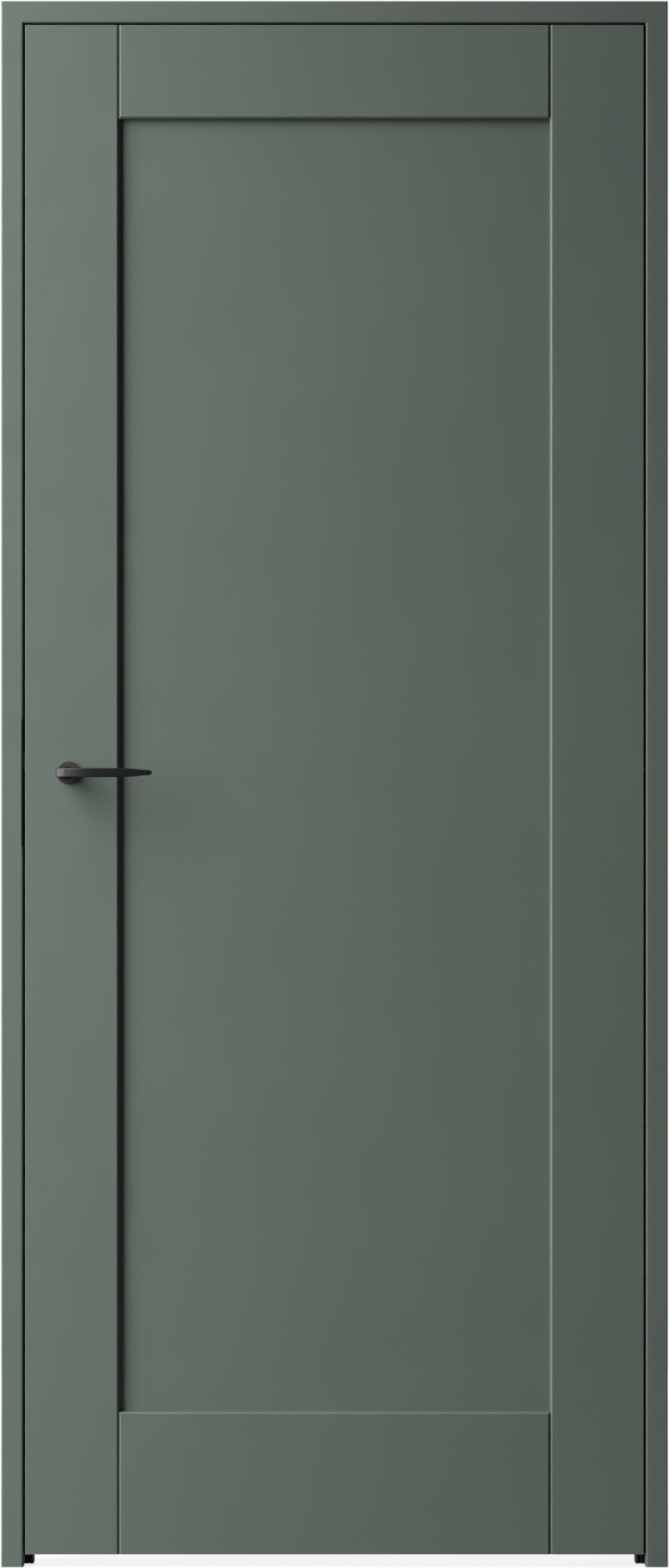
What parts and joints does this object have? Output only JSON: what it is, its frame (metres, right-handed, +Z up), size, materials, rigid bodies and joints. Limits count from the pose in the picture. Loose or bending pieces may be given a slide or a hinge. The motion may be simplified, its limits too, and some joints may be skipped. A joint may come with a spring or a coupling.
{
  "type": "interior door",
  "caption": "Flush interior door set: sage lacquered stile-and-rail leaf with a flat recessed panel, rebated frame with seals, concealed hinges, latch and slim dark levers.",
  "frame": {"origin": "on the floor, in the middle of the frame's width and of the leaf's thickness", "axes": "+X to the hinge side, +Y from the pull side through the leaf to the stop side, +Z up"},
  "size_m": [0.889, 0.154, 2.089],
  "materials": {
    "lacquer": "satin sage green lacquer",
    "seal_rubber": "soft matt black",
    "dowel_wood": "bare beech",
    "black_metal": "satin black coating",
    "black_plastic": "moulded, matt",
    "lock_steel": "zinc plated",
    "hinge_metal": "satin black coating",
    "pin_steel": "ground steel"
  },
  "bodies": {
    "frame": {"lock_jamb": "lacquer", "hinge_jamb": "lacquer", "head_jamb": "lacquer", "corner_screws": "lock_steel", "fixing_plugs": "lacquer", "lock_seal": "seal_rubber", "hinge_seal": "seal_rubber", "head_seal": "seal_rubber", "strike_plate": "black_metal", "strike_box": "black_plastic", "strike_screws": "black_metal", "hinge_frame_screws": "hinge_metal", "bottom_frame_housing": "hinge_metal", "bottom_frame_pin": "pin_steel", "middle_frame_housing": "hinge_metal", "middle_frame_pin": "pin_steel", "top_frame_housing": "hinge_metal", "top_frame_pin": "pin_steel"},
    "leaf": {"lock_stile": "lacquer", "hinge_stile": "lacquer", "top_rail": "lacquer", "bottom_rail": "lacquer", "panel": "lacquer", "rail_dowels": "dowel_wood", "forend": "black_metal", "forend_screws": "black_metal", "lock_case": "lock_steel", "case_cover": "lock_steel", "case_screws": "lock_steel", "latch_spring": "lock_steel", "lever_spring": "lock_steel", "front_rose": "black_metal", "back_rose": "black_metal", "front_rose_base": "lock_steel", "back_rose_base": "lock_steel", "rose_screws": "lock_steel", "hinge_leaf_screws": "hinge_metal", "bottom_leaf_housing": "hinge_metal", "bottom_leaf_pins": "pin_steel", "middle_leaf_housing": "hinge_metal", "middle_leaf_pins": "pin_steel", "top_leaf_housing": "hinge_metal", "top_leaf_pins": "pin_steel"},
    "lever_set": {"front_lever": "black_metal", "back_lever": "black_metal", "spindle": "lock_steel", "follower": "lock_steel", "grub_screws": "lock_steel"},
    "latch": {"latch_bolt": "lock_steel"},
    "bottom_frame_arm": {"bottom_frame_arm": "hinge_metal"},
    "bottom_leaf_arm": {"bottom_leaf_arm": "hinge_metal"},
    "middle_frame_arm": {"middle_frame_arm": "hinge_metal"},
    "middle_leaf_arm": {"middle_leaf_arm": "hinge_metal"},
    "top_frame_arm": {"top_frame_arm": "hinge_metal"},
    "top_leaf_arm": {"top_leaf_arm": "hinge_metal"}
  },
  "joints": [
    {"name": "leaf_swing", "type": "hinge", "parent": "frame", "child": "leaf", "pos_m": [0.41375, -0.0185, 0], "axis": [0, 0, 1], "range_deg": [0, 95]},
    {"name": "lever_turn", "type": "hinge", "parent": "leaf", "child": "lever_set", "pos_m": [-0.3555, 0, 1.0597], "axis": [0, 1, 0], "range_deg": [0, 40], "stiffness_Nm_per_rad": 1.2, "springref_deg": -34.38, "deforming": ["lever_spring"]},
    {"name": "latch_slide", "type": "slide", "parent": "leaf", "child": "latch", "axis": [1, 0, 0], "range_m": [0, 0.0116], "deforming": ["latch_spring"]},
    {"name": "bottom_frame_arm_turn", "type": "hinge", "parent": "frame", "child": "bottom_frame_arm", "pos_m": [0.41875, -0.0085, 0], "axis": [0, 0, 1], "range_deg": [0, 95]},
    {"name": "bottom_leaf_arm_turn", "type": "hinge", "parent": "leaf", "child": "bottom_leaf_arm", "pos_m": [0.40875, -0.0085, 0], "axis": [0, 0, 1], "range_deg": [-95, 0]},
    {"name": "middle_frame_arm_turn", "type": "hinge", "parent": "frame", "child": "middle_frame_arm", "pos_m": [0.41875, -0.0085, 0], "axis": [0, 0, 1], "range_deg": [0, 95]},
    {"name": "middle_leaf_arm_turn", "type": "hinge", "parent": "leaf", "child": "middle_leaf_arm", "pos_m": [0.40875, -0.0085, 0], "axis": [0, 0, 1], "range_deg": [-95, 0]},
    {"name": "top_frame_arm_turn", "type": "hinge", "parent": "frame", "child": "top_frame_arm", "pos_m": [0.41875, -0.0085, 0], "axis": [0, 0, 1], "range_deg": [0, 95]},
    {"name": "top_leaf_arm_turn", "type": "hinge", "parent": "leaf", "child": "top_leaf_arm", "pos_m": [0.40875, -0.0085, 0], "axis": [0, 0, 1], "range_deg": [-95, 0]}
  ],
  "couplings": [
    {"joint": "latch_slide", "follows": "lever_turn", "m_per_rad": 0.016473},
    {"joint": "bottom_frame_arm_turn", "follows": "leaf_swing", "ratio": 1},
    {"joint": "bottom_leaf_arm_turn", "follows": "leaf_swing", "ratio": -1},
    {"joint": "middle_frame_arm_turn", "follows": "leaf_swing", "ratio": 1},
    {"joint": "middle_leaf_arm_turn", "follows": "leaf_swing", "ratio": -1},
    {"joint": "top_frame_arm_turn", "follows": "leaf_swing", "ratio": 1},
    {"joint": "top_leaf_arm_turn", "follows": "leaf_swing", "ratio": -1}
  ]
}
